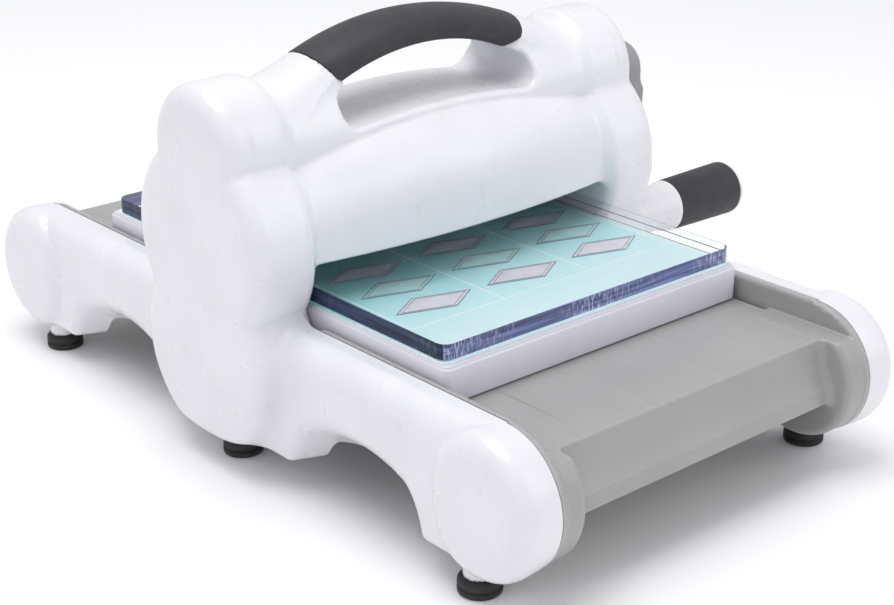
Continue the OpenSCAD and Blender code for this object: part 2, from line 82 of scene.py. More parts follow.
WALL = 3.0
LOBES = ((130.7, 27.1), (94.2, 42.9), (49.2, 41.7))
LOBE_ROUND = 8.0
THROAT_ROUND = 4.0
TOWER_BOTTOM = 12.5
TOWER_FOOT_ROUND = 5
NOTCH_ROUND = 1.3
RAIL_TOP = 66.7
RAIL_OUT = 98.5
DISC_R = 28.3
DISC_Y = RAIL_END - DISC_R
DISC_Z = 38.6
DISC_OUT = 102.5
DISC_ROUND = 8.5
CROWN_END, CROWN_RUN, CROWN_DROP = 96, 12, 0.8
RAIL_LOW = 13.0
RAIL_ROUND = 10.0
RAIL_FOOT_ROUND = 3
BOSS_Y, BOSS_R, BOSS_ROUND = 169.0, 40.0, 6
RAIL_TO_TOWER = 6
ARCH_Y = 83.0
ARCH_HALF, ARCH_TOP, ARCH_R = 36.0, 27.5, 73.0
ARCH_CORNER, ARCH_EDGE = 12, 4
# How far an arch rises and widens for each millimetre outwards
ARCH_RISE, ARCH_SPREAD = 0.766, 0.24
# Brings the slanted roof of an arch close to a true distance
ARCH_SLANT = 0.8
STEM_X = 90.5
STEM_Y = 146.0
STEM_R, STEM_MIDDLE_Z, STEM_HALF_Z = 6.2, 11, 4.5
JOURNAL_R, ROD_R = 8.6, 4.3
ROD_PLACES = ((20, 118), (31, 40))

BOW_R = 460.0
BARREL_Y, BARREL_Z, BARREL_R = 16.0, 106.5, 28.0
BRIDGE_LOW = 88.7
TUBE_Z = 130.7
TUBE_HALF_Y, TUBE_HALF_Z = 25.5, 21.5
HOLE_HALF = 51.0
SADDLE_Z = 137.4
HOLE_ROUND = 8.0

HANDLE_HALF_Y = 15.5
CREST_R = 151.0
CREST_C = HANDLE_TOP - CREST_R
UNDER_R, UNDER_C = 109.3, 49.3
RIDGE_R = 115.5
SEAM_X, SEAM_Z = 46.8, 148.6
SEAM_TILT = math.radians(31)

TRAY_END = 164.6
CHEEK_IN = 71.5
CHEEK_R = 27.0
RIM_IN = 81.0


# ---------------------------------------------------------------- signed distance fields

def disc(u, v, cu, cv, r):
    return np.hypot(u - cu, v - cv) - r


def meet(a, b, r=0.0):
    """Intersection of two solids, its outer edge rounded to radius r."""
    return np.minimum(np.maximum(a, b), -r) + np.hypot(np.maximum(a + r, 0), np.maximum(b + r, 0))


def join(a, b, r=0.0):
    """Union of two solids, its inner corner filled to radius r."""
    return -meet(-a, -b, r)


def cut(a, b, r=0.0):
    """Solid a without solid b, the new edges rounded to radius r."""
    return meet(a, -b, r)


def ease(v, low, high):
    """0 below low, 1 above high and smooth between them."""
    t = np.clip((v - low) / (high - low), 0, 1)
    return t * t * (3 - 2 * t)


def round_box(u, v, half_u, half_v, r):
    du = np.abs(u) - half_u + r
    dv = np.abs(v) - half_v + r
    return np.hypot(np.maximum(du, 0), np.maximum(dv, 0)) + np.minimum(np.maximum(du, dv), 0) - r


def ellipse(u, v, half_u, half_v):
    """Close to the distance from an upright ellipse."""
    k = np.hypot(u / half_u, v / half_v)
    slope = np.hypot(u / half_u ** 2, v / half_v ** 2)
    return k * (k - 1) / np.maximum(slope, 1e-4)


def lobes(x, y, z):
    """The three round lobes of a tower, each with its own rounded rims."""
    found = []
    for lobe_z, lobe_r in LOBES:
        lobe = meet(disc(y, z, 0, lobe_z, lobe_r), x - TOWER_OUT, LOBE_ROUND)
        lobe = meet(lobe, THROAT - x, THROAT_ROUND)
        found.append(meet(lobe, TOWER_BOTTOM - z, TOWER_FOOT_ROUND))
    return found


def rail(x, y, z):
    """Straight rail with a round outer shoulder. The arches below it flare outwards."""
    top = meet(z - RAIL_TOP, x - RAIL_OUT, RAIL_ROUND)
    bar = np.maximum(top, meet(RAIL_LOW - z, x - RAIL_OUT, RAIL_FOOT_ROUND))
    bar = np.maximum(bar, y - DISC_Y)
    depth = x - SHELL_IN
    roof = ARCH_SLANT * disc(y, z, ARCH_Y, ARCH_TOP + ARCH_RISE * depth - ARCH_R, ARCH_R)
    arch = meet(roof, np.abs(y - ARCH_Y) - ARCH_HALF - ARCH_SPREAD * depth, ARCH_CORNER)
    return cut(bar, arch, ARCH_EDGE)


def end_disc(x, y, z):
    """Round end of a side, with a raised face that stops at a steep arc beside the rail."""
    crown = CROWN_DROP * np.clip((CROWN_END - x) / CROWN_RUN, 0, 1) ** 2
    around = disc(y, z, DISC_Y, DISC_Z, DISC_R - crown)
    boss = meet(around, disc(y, z, BOSS_Y, DISC_Z, BOSS_R), BOSS_ROUND)
    return meet(boss, x - DISC_OUT, DISC_ROUND)


def side(x, y, z, rail_in):
    """The whole side of the housing: tower, and rail and end disc from rail_in outwards."""
    top, middle, bottom = lobes(x, y, z)
    tower = join(join(top, middle, NOTCH_ROUND), bottom, NOTCH_ROUND)
    valley = 1.8 * (1 - ease(z, 52, 62)) + 0.1
    beside = np.maximum(join(rail(x, y, z), end_disc(x, y, z), valley), rail_in - x)
    body = join(tower, beside, RAIL_TO_TOWER)
    return np.maximum(body, np.maximum(x - TOWER_OUT, THROAT - x))


def side_hollow(x, y, z):
    """Room inside a side shell."""
    solid = np.minimum(rail(x, y, z), end_disc(x, y, z))
    for lobe in lobes(x, y, z):
        solid = np.minimum(solid, lobe)
    return np.maximum(solid + WALL, SHELL_IN - x)


def stems(x, y, z):
    """Short round stems that hold the rubber feet."""
    found = np.minimum(disc(x, y, STEM_X, STEM_Y, STEM_R), disc(x, y, STEM_X, 0, STEM_R))
    return meet(found, np.abs(z - STEM_MIDDLE_Z) - STEM_HALF_Z, 0.4)


def handle(x, y, z):
    """Arched bar of the handle: a dome above a ridge, and flanks that lean in below it."""
    ridge = UNDER_C + np.sqrt(np.maximum(RIDGE_R ** 2 - x ** 2, 1))
    crest = CREST_C + np.sqrt(CREST_R ** 2 - x ** 2)
    dome = ellipse(y, z - ridge, HANDLE_HALF_Y, np.maximum(crest - ridge, 2))
    flank = (y - HANDLE_HALF_Y + 0.5 * (ridge - z)) * 0.9
    sides = np.where(z > ridge, dome, flank)
    return meet(sides, UNDER_R - np.hypot(x, z - UNDER_C), 2.2)


def past_seam(x, z):
    """Distance beyond the slanted plane where the soft grip ends."""
    return math.cos(SEAM_TILT) * (x - SEAM_X) - math.sin(SEAM_TILT) * (z - SEAM_Z)


def barrel_and_tube(x, y, z):
    """The bowed barrel over the roller and the tube above it, as solids."""
    bow = BOW_R - np.sqrt(BOW_R ** 2 - x ** 2)
    centre = BARREL_Z - 5.1 * (x / 77) ** 2
    front = y - BARREL_Y + bow - BARREL_R
    barrel = np.where(z > centre, disc(y, z, BARREL_Y - bow, centre, BARREL_R), front)
    barrel = meet(barrel, BRIDGE_LOW - z, 1.2)
    return barrel, ellipse(y, z - TUBE_Z, TUBE_HALF_Y, TUBE_HALF_Z)


def hand_hole(x, z):
    """Opening for the fingers, seen from the front: arched floor, round lower corners, handle above."""
    floor = SADDLE_Z - 4.4 * (x / 52) ** 2 - z
    ends = meet(floor, x - HOLE_HALF, HOLE_ROUND)
    return meet(ends, np.hypot(x, z - UNDER_C) - UNDER_R, 3)


def bridge(x, y, z):
    """Everything between the towers except the soft grip."""
    barrel, tube = barrel_and_tube(x, y, z)
    root = meet(handle(x, y, z), -past_seam(x, z), 0.6)
    upper = cut(join(tube, root, 8), hand_hole(x, z), 1.9)
    return join(barrel, upper, 0.7)


def bridge_hollow(x, y, z):
    """Room inside the bridge."""
    barrel, tube = barrel_and_tube(x, y, z)
    solid = np.minimum(barrel, tube) + WALL
    return np.maximum(np.maximum(solid, WALL - hand_hole(x, z)), x - THROAT + WALL)


def journal_holes(x, y, z):
    """Holes in the inner walls for the rollers' journals and the tie rods."""
    holes = np.minimum(disc(y, z, 0, UPPER_Z, JOURNAL_R), disc(y, z, 0, LOWER_Z, JOURNAL_R))
    for rod_y, rod_z in ROD_PLACES:
        holes = np.minimum(holes, disc(y, z, rod_y, rod_z, ROD_R))
    return np.maximum(holes, x - SHELL_IN - 1)


def housing_outside(x, y, z, rail_in):
    """Outer surface of the white housing, as if it were solid."""
    x = np.abs(x)
    y = np.abs(y)
    outer = join(side(x, y, z, rail_in), np.maximum(bridge(x, y, z), x - TOWER_OUT + 15), 5)
    return np.minimum(outer, stems(x, y, z))


def housing(x, y, z, rail_in, hub=False):
    """White housing with its hollows, and with the crank's hole where hub is set."""
    outer = housing_outside(x, y, z, rail_in)
    x = np.abs(x)
    y = np.abs(y)
    roller = np.maximum(disc(y, z, 0, UPPER_Z, ROLLER_R + 1.2), x - THROAT)
    hollow = np.minimum(side_hollow(x, y, z), bridge_hollow(x, y, z))
    hollow = np.minimum(np.minimum(hollow, roller), journal_holes(x, y, z))
    if hub:
        hollow = np.minimum(hollow, np.maximum(disc(y, z, 0, CRANK_Z, 10.2), TOWER_OUT - 12 - x))
    return np.maximum(outer, -hollow)


# ---------------------------------------------------------------- meshing

CORNERS = [(i, j, k) for i in (0, 1) for j in (0, 1) for k in (0, 1)]
CELL_EDGES = [(a, b) for a in range(8) for b in range(a + 1, 8)
              if sum(abs(p - q) for p, q in zip(CORNERS[a], CORNERS[b])) == 1]


def gradient(field, points, reach=0.2):
    found = np.empty_like(points)
    for axis in range(3):
        step = np.zeros(3)
        step[axis] = reach
        found[:, axis] = field(*(points + step).T) - field(*(points - step).T)
    return found / (2 * reach)


def surface_nets(field, low, high, step):
    """Vertices and quads of the zero surface of a field, pulled onto it along its gradient."""
    axes = [np.arange(a, b + step, step) for a, b in zip(low, high)]
    values = field(*np.meshgrid(*axes, indexing="ij", sparse=True))
    inside = values < 0
    size = [n - 1 for n in inside.shape]
    count = np.zeros(size, np.int8)
    for i, j, k in CORNERS:
        count += inside[i:size[0] + i, j:size[1] + j, k:size[2] + k]
    cells = np.argwhere((count > 0) & (count < 8))
    index = np.full(size, -1, np.int64)
    index[tuple(cells.T)] = np.arange(len(cells))
    corner = [values[tuple((cells + offset).T)] for offset in CORNERS]
    total = np.zeros((len(cells), 3))
    crossings = np.zeros(len(cells))
    for a, b in CELL_EDGES:
        crossed = (corner[a] < 0) != (corner[b] < 0)
        share = np.where(crossed, corner[a] / np.where(crossed, corner[a] - corner[b], 1), 0)
        start = np.array(CORNERS[a], float)
        along = np.array(CORNERS[b], float) - start
        total += crossed[:, None] * (start + share[:, None] * along)
        crossings += crossed
    points = np.array(low, float) + (cells + total / crossings[:, None]) * step
    for _ in range(4):
        slope = gradient(field, points)
        length2 = np.maximum((slope ** 2).sum(1), 0.05)
        shift = -(field(*points.T) / length2)[:, None] * slope
        reach = np.maximum(np.linalg.norm(shift, axis=1) / (0.4 * step), 1)
        points += shift / reach[:, None]
    return points, net_quads(inside, index, size)


def net_quads(inside, index, size):
    """One quad round each grid edge that crosses the surface, facing outwards."""
    quads = []
    for axis in range(3):
        first = [slice(1, n) for n in size]
        second = list(first)
        first[axis] = slice(0, size[axis])
        second[axis] = slice(1, size[axis] + 1)
        a = inside[tuple(first)]
        b = inside[tuple(second)]
        u, v = [n for n in range(3) if n != axis]
        for rising in (False, True):
            edges = np.argwhere((a != b) & (b == rising))
            base = edges.copy()
            for other in (u, v):
                base[:, other] += 1
            ring = []
            for du, dv in ((-1, -1), (0, -1), (0, 0), (-1, 0)):
                cell = base.copy()
                cell[:, u] += du
                cell[:, v] += dv
                ring.append(index[tuple(cell.T)])
            if rising != (axis == 1):
                ring.reverse()
            quads.append(np.stack(ring, 1))
    return np.concatenate(quads).tolist()


def mesh_from(points, faces):
    """A bmesh from an array of points and a list of faces."""
    bm = bmesh.new()
    verts = [bm.verts.new(p) for p in points.tolist()]
    for face in faces:
        bm.faces.new([verts[i] for i in face])
    return bm


def slice_mesh(bm, point, normal, drop=False):
    """Cuts the mesh with a plane and can drop what lies on the side the normal points to."""
    everything = bm.verts[:] + bm.edges[:] + bm.faces[:]
    bmesh.ops.bisect_plane(bm, geom=everything, dist=1e-4, plane_co=point, plane_no=normal, clear_outer=drop)


def arrays(bm):
    """Points and faces of a bmesh as an array and a list of index lists."""
    bm.verts.index_update()
    points = np.array([v.co for v in bm.verts], float)
    return points, [[v.index for v in f.verts] for f in bm.faces]


def some_faces(points, faces, keep):
    """The faces whose centre passes keep, with only the points that they use."""
    centres = np.array([points[f].mean(0) for f in faces])
    chosen = [f for f, wanted in zip(faces, keep(centres)) if wanted]
    used = np.unique(np.concatenate([np.array(f) for f in chosen]))
    place = np.full(len(points), -1)
    place[used] = np.arange(len(used))
    return points[used], [place[f].tolist() for f in chosen]


def mirrored(part, axis):
    points, faces = part
    points = points.copy()
    points[:, axis] *= -1
    return points, [f[::-1] for f in faces]


def joined(*parts):
    points, faces, start = [], [], 0
    for part_points, part_faces in parts:
        points.append(part_points)
        faces += [[i + start for i in f] for f in part_faces]
        start += len(part_points)
    return np.concatenate(points), faces


def shell_object(name, part, field, planes=()):
    """An object in metres from a field's mesh. Open edges on a plane (axis, value) get a flat cap."""
    bm = mesh_from(*part)
    bmesh.ops.remove_doubles(bm, verts=[v for v in bm.verts if v.is_boundary], dist=1e-3)
    close_corners(bm, planes)
    capped = set()
    for axis, value in planes:
        rim = [e for e in bm.edges if len(e.link_faces) < 2
               and all(abs(v.co[axis] - value) < 1e-3 for v in e.verts)]
        made = bmesh.ops.triangle_fill(bm, edges=rim, use_beauty=True, use_dissolve=False)["geom"]
        capped |= {f for f in made if isinstance(f, bmesh.types.BMFace)}
    bmesh.ops.recalc_face_normals(bm, faces=bm.faces[:])
    bm.faces.ensure_lookup_table()
    flat = np.array([f in capped for f in bm.faces])
    mesh = bpy.data.meshes.new(name)
    bm.to_mesh(mesh)
    bm.free()
    set_normals(mesh, field, flat)
    mesh.transform(Matrix.Scale(MM, 4))
    obj = bpy.data.objects.new(name, mesh)
    bpy.context.scene.collection.objects.link(obj)
    return obj


def close_corners(bm, planes):
    """Adds the edges that the caps of two crossing planes share."""
    for (axis, value), (other, limit) in zip(planes, planes[1:]):
        if axis != other:
            along = 3 - axis - other
            found = [v for v in bm.verts if v.is_boundary
                     and abs(v.co[axis] - value) < 1e-3 and abs(v.co[other] - limit) < 1e-3]
            found.sort(key=lambda v: v.co[along])
            for a, b in zip(found[::2], found[1::2]):
                bm.edges.new((a, b))


def set_normals(mesh, field, flat):
    """Normals from the field's gradient, and from the face itself where it is flat."""
    points = np.empty(len(mesh.vertices) * 3)
    mesh.vertices.foreach_get("co", points)
    points = points.reshape(-1, 3)
    slope = gradient(field, points)
    slope /= np.maximum(np.linalg.norm(slope, axis=1), 1e-9)[:, None]
    corner_vertex = np.empty(len(mesh.loops), np.int64)
    mesh.loops.foreach_get("vertex_index", corner_vertex)
    face_normal = np.empty(len(mesh.polygons) * 3)
    mesh.polygons.foreach_get("normal", face_normal)
    face_normal = face_normal.reshape(-1, 3)
    sizes = np.empty(len(mesh.polygons), np.int64)
    mesh.polygons.foreach_get("loop_total", sizes)
    face_of_corner = np.repeat(np.arange(len(sizes)), sizes)
    normals = slope[corner_vertex]
    own = face_normal[face_of_corner]
    astray = (normals * own).sum(1) < 0.3
    use_face = astray | flat[face_of_corner]
    normals[use_face] = own[use_face]
    mesh.polygons.foreach_set("use_smooth", np.ones(len(sizes), bool))
    mesh.normals_split_custom_set(normals.tolist())


# ---------------------------------------------------------------- white housing

HOUSING_STEP = 1.35
THROAT_CUT = THROAT - 0.3
SHELL_CUT = SHELL_IN + 0.3
GROOVE_HALF = 0.28
GROOVE_DEPTH = 0.15


def housing_quarter(low_x, high_x, rail_in, hub=False):
    """The front right quarter of the housing between two x, cut at the planes where its mouldings part."""
    def field(x, y, z):
        return housing(x, y, z, rail_in, hub)

    low = (low_x, -RAIL_END - 1.5, 5.5)
    high = (high_x, 1.5, HANDLE_TOP + 2)
    bm = mesh_from(*surface_nets(field, low, high, HOUSING_STEP))
    slice_mesh(bm, (0, 0, 0), (0, 1, 0), drop=True)
    slice_mesh(bm, (0, 0, 0), (-1, 0, 0), drop=True)
    slice_mesh(bm, (0, -GROOVE_HALF, 0), (0, 1, 0))
    for x in (THROAT_CUT, SHELL_CUT - GROOVE_HALF, SHELL_CUT, SHELL_CUT + GROOVE_HALF):
        slice_mesh(bm, (x, 0, 0), (1, 0, 0))
    points, faces = arrays(bm)
    bm.free()
    return (sink_seams(points, rail_in), faces), field


def sink_seams(points, rail_in):
    """Sinks the outer surface where the mouldings meet, so that the joints show as fine grooves."""
    def outside(x, y, z):
        return housing_outside(x, y, z, rail_in)

    x, y, z = points.T
    across = (np.abs(y) < 1e-4) & (x < THROAT_CUT + 1e-4)
    along = np.abs(x - SHELL_CUT) < 1e-4
    chosen = (across | along) & (np.abs(outside(x, y, z)) < 0.2)
    slope = gradient(outside, points[chosen])
    slope[across[chosen], 1] = 0
    slope[along[chosen], 0] = 0
    slope[np.abs(x[chosen] - THROAT_CUT) < 1e-3, 0] = 0
    slope /= np.maximum(np.linalg.norm(slope, axis=1), 0.2)[:, None]
    points[chosen] -= GROOVE_DEPTH * slope
    return points


def build_housing():
    inner, field = housing_quarter(-1.5, SHELL_CUT + 3, SHELL_CUT + 3)
    outer, shell_field = housing_quarter(SHELL_CUT - 3, TOWER_OUT + 2, SHELL_CUT - 3)
    with_hub, hub_field = housing_quarter(SHELL_CUT - 3, TOWER_OUT + 2, SHELL_CUT - 3, hub=True)
    shell = some_faces(*outer, lambda c: c[:, 0] > SHELL_CUT)
    hub_shell = some_faces(*with_hub, lambda c: c[:, 0] > SHELL_CUT)
    wall = some_faces(*inner, lambda c: (c[:, 0] > THROAT_CUT) & (c[:, 0] < SHELL_CUT))
    cover = some_faces(*inner, lambda c: c[:, 0] < THROAT_CUT)
    cover = joined(cover, mirrored(cover, 0))
    wall = joined(wall, mirrored(wall, 1))
    found = {
        "right_side_shell": shell_object(
            "housing_right_side", joined(hub_shell, mirrored(hub_shell, 1)), hub_field, [(0, SHELL_CUT)]),
        "left_side_shell": shell_object(
            "housing_left_side", mirrored(joined(shell, mirrored(shell, 1)), 0), shell_field,
            [(0, -SHELL_CUT)]),
        "front_bridge_cover": shell_object(
            "bridge_front", cover, field, [(0, THROAT_CUT), (1, 0), (0, -THROAT_CUT)]),
        "rear_bridge_cover": shell_object(
            "bridge_rear", mirrored(cover, 1), field, [(0, THROAT_CUT), (1, 0), (0, -THROAT_CUT)]),
    }
    for side_name, sign in (("right", 1), ("left", -1)):
        part = wall if sign > 0 else mirrored(wall, 0)
        planes = [(0, sign * THROAT_CUT), (0, sign * SHELL_CUT)]
        found[f"{side_name}_inner_wall"] = shell_object(f"throat_wall_{side_name}", part, field, planes)
    for node, obj in found.items():
        finish_piece(obj, "frame", "white_housing", node)


def finish_piece(obj, body, slot, *nodes):
    """Puts a piece on its body, in the record's slot, in place of the CAD nodes that it stands for."""
    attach(obj, body)
    if nodes:
        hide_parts(*nodes)
    PIECES[obj.name] = slot


PIECES = {}


# ---------------------------------------------------------------- trays

TRAY_STEP = 1.4
APRON_CREASE_Z = 37.3
APRON_LOW = 31.5
SLOT_Y = 20.5
TOWER_CLEAR = 46.0
TRAY_SIDE = SHELL_IN - 0.1


def tray(x, y, z):
    """Grey tray at one end: floor, coved apron, round cheeks, rims and the flare over the foot."""
    x = np.abs(x)
    y = np.abs(y)
    drop = np.clip((FLOOR_Z - z) / (FLOOR_Z - APRON_CREASE_Z), 0, 1)
    lip = 0.086 * np.maximum(APRON_CREASE_Z - z, 0)
    face = (y - TRAY_END - 6.4 * drop ** 1.7 - lip) / 1.05
    middle = meet(meet(face, z - FLOOR_Z, 0.9), APRON_LOW - z, 0.7)
    middle = np.maximum(middle, np.maximum(SLOT_Y - y, x - THROAT + 0.2))
    cheek = meet(disc(y, z, DISC_Y, DISC_Z, CHEEK_R), CHEEK_IN - x, 3)
    flare = meet(disc(x, y, STEM_X, STEM_Y, 13), np.abs(z - 15) - 3, 1)
    cheek = join(cheek, np.maximum(flare, CHEEK_IN + 1 - x), 4)
    cheek = meet(cheek, z - FLOOR_Z, 0.9)
    body = meet(join(middle, cheek, 3.5), z - FLOOR_Z, 0.9)
    straight = np.maximum(np.maximum(z - RAIL_TOP, 54 - z), np.maximum(y - DISC_Y, TOWER_CLEAR - y))
    rim = join(straight, disc(y, z, DISC_Y, DISC_Z, CHEEK_R + 0.2), 1)
    rim = meet(rim, RIM_IN - x, 1)
    body = join(body, rim, 0.8)
    under = np.maximum(np.maximum(face + WALL, z - 54), x - CHEEK_IN)
    in_cheek = np.maximum(disc(y, z, DISC_Y, DISC_Z, CHEEK_R - WALL), np.maximum(CHEEK_IN + WALL - x, z - 54))
    beside = np.maximum(np.maximum(z - 54, y - DISC_Y + CHEEK_R + 1), CHEEK_IN - 1 - x)
    hollow = np.minimum(np.minimum(under, in_cheek), beside)
    return np.maximum(body, -hollow)


def build_trays():
    low = (-SHELL_IN - 2, -RAIL_END - 1, 8)
    high = (SHELL_IN + 2, -SLOT_Y + 2, RAIL_TOP + 2)
    bm = mesh_from(*surface_nets(tray, low, high, TRAY_STEP))
    for sign in (-1, 1):
        slice_mesh(bm, (sign * TRAY_SIDE, 0, 0), (sign, 0, 0), drop=True)
    part = arrays(bm)
    bm.free()
    for node, made in (("front_tray", part), ("rear_tray", mirrored(part, 1))):
        planes = [(0, TRAY_SIDE), (0, -TRAY_SIDE)]
        obj = shell_object(f"feed_tray_{node.split('_')[0]}", made, tray, planes)
        finish_piece(obj, "frame", "grey_plastic", node)


# ---------------------------------------------------------------- carrying handle

GRIP_SKIN = 2.4


def soft_grip(x, y, z):
    x = np.abs(x)
    y = np.abs(y)
    bar = handle(x, y, z)
    skin = np.maximum(bar, -(bar + GRIP_SKIN))
    return meet(skin, past_seam(x, z) + 0.05, 0.8)


def handle_core(x, y, z):
    x = np.abs(x)
    bar = handle(x, np.abs(y), z) + GRIP_SKIN + 0.1
    return np.maximum(bar, past_seam(x, z) - 6)


def build_handle():
    low = (-66, -17, 135)
    high = (66, 17, HANDLE_TOP + 1.5)
    for name, field, step, slot, node in (
            ("handle_soft_grip", soft_grip, 0.9, "soft_grip", "handle_grip"),
            ("handle_core", handle_core, 1.5, "white_housing", "handle_arch")):
        obj = shell_object(name, surface_nets(field, low, high, step), field)
        finish_piece(obj, "frame", slot, node)


# ---------------------------------------------------------------- crank

ARM_LOW, ARM_HIGH = cad_mm("crank_arm")
HUB_HALF_Y = ARM_HIGH[1]
HUB_HALF_Z = ARM_HIGH[2] - CRANK_Z
ARM_END_R = 13.0
ARM_STEP = 1.1


def crank_arm(x, y, z):
    y = np.abs(y)
    hub = round_box(y, z - CRANK_Z, HUB_HALF_Y, HUB_HALF_Z, 12)
    width = ARM_END_R + (HUB_HALF_Y - ARM_END_R) * np.clip((z - GRIP_Z) / (CRANK_Z - GRIP_Z), 0, 1)
    web = np.maximum(y - width, np.maximum(GRIP_Z - z, z - CRANK_Z))
    outline = join(join(hub, web, 6), disc(y, z, 0, GRIP_Z, ARM_END_R), 1)
    middle = (ARM_LOW[0] + ARM_HIGH[0]) / 2
    half = (ARM_HIGH[0] - ARM_LOW[0]) / 2
    body = meet(outline, np.abs(x - middle) - half, 1.8)
    pocket = meet(np.maximum(outline + 5, np.maximum(66 - z, z - 98)), ARM_HIGH[0] - 2 - x, 0.8)
    body = cut(body, pocket, 0.7)
    bores = np.minimum(disc(y, z, 0, CRANK_Z, 6.05), disc(y, z, 0, GRIP_Z, 4.05))
    seat = np.maximum(disc(y, z, 0, GRIP_Z, 7.05), x - ARM_LOW[0] - 4)
    recess = np.maximum(disc(y, z, 0, CRANK_Z, 10.05), ARM_HIGH[0] - 1.5 - x)
    return np.maximum(body, -np.minimum(bores, np.minimum(seat, recess)))


def lathe(name, profile, height, sides=96):
    """A closed solid turned about the line y 0, z height, along X, from (x, radius) pairs."""
    bm = bmesh.new()
    rings = []
    for x, radius in profile:
        if radius == 0:
            rings.append([bm.verts.new((x * MM, 0, height * MM))])
            continue
        ring = []
        for i in range(sides):
            a = 2 * math.pi * i / sides
            y, z = radius * math.cos(a) * MM, (height + radius * math.sin(a)) * MM
            ring.append(bm.verts.new((x * MM, y, z)))
        rings.append(ring)
    for a, b in zip(rings, rings[1:]):
        for i in range(sides):
            j = (i + 1) % sides
            corners = [a[i % len(a)], a[j % len(a)], b[j % len(b)], b[i % len(b)]]
            corners = list(dict.fromkeys(corners))
            if len(corners) > 2:
                bm.faces.new(corners)
    return object_from(name, bm)


def object_from(name, bm, sharp_deg=35):
    bmesh.ops.remove_doubles(bm, verts=bm.verts[:], dist=1e-7)
    bmesh.ops.recalc_face_normals(bm, faces=bm.faces[:])
    mesh = bpy.data.meshes.new(name)
    bm.to_mesh(mesh)
    bm.free()
    for face in mesh.polygons:
        face.use_smooth = True
    mesh.set_sharp_from_angle(angle=math.radians(sharp_deg))
    obj = bpy.data.objects.new(name, mesh)
    bpy.context.scene.collection.objects.link(obj)
    return obj


def arc(cx, cr, r, start_deg, end_deg, steps=6):
    """Points of a profile along a round of radius r about (cx, cr)."""
    found = []
    for i in range(steps + 1):
        a = math.radians(start_deg + (end_deg - start_deg) * i / steps)
        found.append((cx + r * math.cos(a), cr + r * math.sin(a)))
    return found


def build_crank():
    low = (ARM_LOW[0] - 2.5, -HUB_HALF_Y - 2.5, GRIP_Z - ARM_END_R - 2.5)
    high = (ARM_HIGH[0] + 2.5, HUB_HALF_Y + 2.5, CRANK_Z + HUB_HALF_Z + 2.5)
    arm = shell_object("crank_lever", surface_nets(crank_arm, low, high, ARM_STEP), crank_arm)
    finish_piece(arm, "crank", "crank_grey", "crank_arm")

    low, high = cad_mm("hub_cap")
    face = ARM_HIGH[0]
    cap = [(low[0] + 2.5, 0), (low[0] + 2.5, 8), (low[0], 8), (low[0], 10), (face, 10), (face, high[1])]
    cap += arc(high[0] - 1.5, high[1] - 1.5, 1.5, 90, 0)
    cap += [(high[0], 7.6), (high[0] - 0.5, 7.2), (high[0] - 0.5, 6.8), (high[0], 6.4), (high[0], 0)]
    obj = lathe("hub_button", cap, CRANK_Z)
    finish_piece(obj, "crank", "crank_grey", "hub_cap")

    core_low, core_high = cad_mm("grip_core")
    sleeve_low, sleeve_high = cad_mm("grip_sleeve")
    flare = [(149.5 + 12 * t, 10.4 + 2.1 * t * t * (3 - 2 * t)) for t in np.linspace(0, 1, 9)]
    core = [(core_low[0], 4.1), (core_low[0], 9.4)] + arc(core_low[0] + 1, 9.4, 1, 180, 90, 4)[1:]
    core += flare[:-1] + [(sleeve_low[0] - 0.4, 12.5), (sleeve_low[0], 12.1), (sleeve_low[0], 8.45)]
    core += [(core_high[0], 8.45), (core_high[0], 4.1), (core_low[0], 4.1)]
    obj = lathe("crank_grip_core", core, GRIP_Z)
    finish_piece(obj, "crank_grip", "white_housing", "grip_core")

    start, end = sleeve_low[0] + 0.1, sleeve_high[0] - 0.1
    sleeve = [(start, 8.6)] + [(start, 11.7)] + arc(start + 0.8, 11.7, 0.8, 180, 90, 4)[1:]
    sleeve += [(start + (end - start) * t, 12.5 + 0.7 * t) for t in (0.25, 0.5, 0.75)]
    sleeve += arc(end - 0.8, 12.35, 0.8, 90, 0, 4) + [(end, 8.6), (start, 8.6)]
    obj = lathe("crank_grip_sleeve", sleeve, GRIP_Z)
    finish_piece(obj, "crank_grip", "soft_grip", "grip_sleeve")

    low, high = cad_mm("grip_end_cap")
    cap = [(low[0], 0), (low[0], 12.7)] + arc(high[0] - 1.3, 11.7, 1.3, 90, 0) + [(high[0] - 0.3, 10)]
    cap += [(high[0] - 0.3, 0)]
    obj = lathe("crank_grip_end", cap, GRIP_Z)
    finish_piece(obj, "crank_grip", "white_housing", "grip_end_cap")


# ---------------------------------------------------------------- feet

def build_feet():
    for node in [n for n in CAD if n.endswith("_foot")]:
        low, high = cad_mm(node)
        r = (high[0] - low[0]) / 2
        top = 6.5
        profile = [(0.35, 0), (0.35, r - 3), (0, r - 2.4)] + arc(1, r - 1, 1, 180, 90, 4)
        profile += [(2.2, r), (2.6, r - 0.55), (3.2, r - 0.55), (3.6, r)]
        profile += arc(top - 2, r - 2, 2, 90, 0, 6)[1:] + [(top, 5), (top - 0.2, 2.9)]
        profile += [(high[2] - 0.5, 2.9), (high[2], 2.3), (high[2], 0)]
        obj = lathe(f"rubber_{node}", profile, 0, sides=64)
        centre = (low + high) / 2
        obj.data.transform(Matrix.Rotation(-math.pi / 2, 4, "Y"))
        obj.data.transform(Matrix.Translation((centre[0] * MM, centre[1] * MM, 0)))
        finish_piece(obj, "frame", "rubber_feet", node)


# ---------------------------------------------------------------- plates

def rounded_loop(half_x, half_y, r, steps=7):
    points = []
    for quarter, (sx, sy) in enumerate(((1, 1), (-1, 1), (-1, -1), (1, -1))):
        for i in range(steps + 1):
            a = math.radians(90 * quarter + 90 * i / steps)
            points.append((sx * (half_x - r) + r * math.cos(a), sy * (half_y - r) + r * math.sin(a)))
    return points


